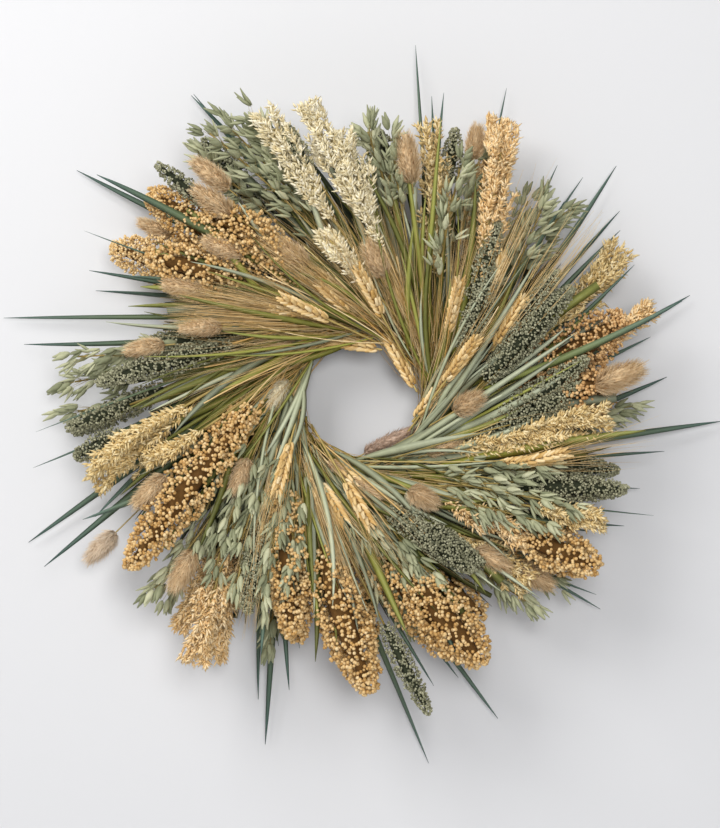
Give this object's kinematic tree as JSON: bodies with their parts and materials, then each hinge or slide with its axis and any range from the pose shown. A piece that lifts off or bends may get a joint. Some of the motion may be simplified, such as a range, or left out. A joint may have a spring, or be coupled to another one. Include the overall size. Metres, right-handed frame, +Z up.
{
  "type": "harvest door wreath",
  "caption": "Swirled dried-grain wreath: sorghum, millet, oats, wheat, bunny tails and blades bound to a wire ring, with a folding hanger loop.",
  "frame": {"origin": "the hook seat, the underside of the hanger loop's top, where a door hook carries the wreath", "axes": "+Z up, -Y out of the front of the wreath, +Y towards the door, X across it"},
  "size_m": [0.7079, 0.1263, 0.7082],
  "materials": {
    "frame_wire": "satin",
    "winding_wire": "satin",
    "hanger_wire": "satin",
    "sorghum": "matte",
    "cream_millet": "matte",
    "green_millet": "matte",
    "oat": "matte",
    "bunny_tail": "matte",
    "wheat": "matte",
    "grass_blade": "matte"
  },
  "bodies": {
    "wreath": {"broom_millet_01": "cream_millet", "broom_millet_02": "cream_millet", "broom_millet_03": "cream_millet", "broom_millet_04": "cream_millet", "broom_millet_05": "cream_millet", "broom_millet_06": "cream_millet", "broom_millet_07": "cream_millet", "broom_millet_08": "cream_millet", "bunny_tail_01": "bunny_tail", "bunny_tail_02": "bunny_tail", "bunny_tail_03": "bunny_tail", "cross_wire_1": "frame_wire", "cross_wire_2": "frame_wire", "cross_wire_3": "frame_wire", "cross_wire_4": "frame_wire", "cross_wire_5": "frame_wire", "grass_blade_01": "grass_blade", "grass_blade_02": "grass_blade", "grass_blade_03": "grass_blade", "grass_blade_04": "grass_blade", "grass_blade_05": "grass_blade", "grass_blade_06": "grass_blade", "grass_blade_07": "grass_blade", "grass_blade_08": "grass_blade", "grass_blade_09": "grass_blade", "grass_blade_10": "grass_blade", "grass_blade_11": "grass_blade", "green_millet_01": "green_millet", "green_millet_02": "green_millet", "green_millet_03": "green_millet", "green_millet_04": "green_millet", "green_millet_05": "green_millet", "green_millet_06": "green_millet", "green_millet_07": "green_millet", "green_millet_08": "green_millet", "green_millet_09": "green_millet", "oat_stalk_01": "oat", "oat_stalk_02": "oat", "oat_stalk_03": "oat", "oat_stalk_04": "oat", "paddle_wire": "winding_wire", "ring_inner": "frame_wire", "ring_mid_inner": "frame_wire", "ring_mid_outer": "frame_wire", "ring_outer": "frame_wire", "sorghum_stalk_01": "sorghum", "sorghum_stalk_02": "sorghum", "sorghum_stalk_03": "sorghum", "sorghum_stalk_04": "sorghum", "sorghum_stalk_05": "sorghum", "sorghum_stalk_06": "sorghum", "sorghum_stalk_07": "sorghum", "sorghum_stalk_08": "sorghum", "sorghum_stalk_09": "sorghum", "wheat_stalk_01": "wheat", "wheat_stalk_02": "wheat", "wheat_stalk_03": "wheat", "wheat_stalk_04": "wheat", "wheat_stalk_05": "wheat"},
    "hanger": {"hanger_loop": "hanger_wire"}
  },
  "joints": [
    {"name": "hanger_hinge", "type": "hinge", "parent": "wreath", "child": "hanger", "pos_m": [0, -0.00547, -0.03457], "axis": [-1, 0, 0], "range_deg": [0, 130]}
  ]
}
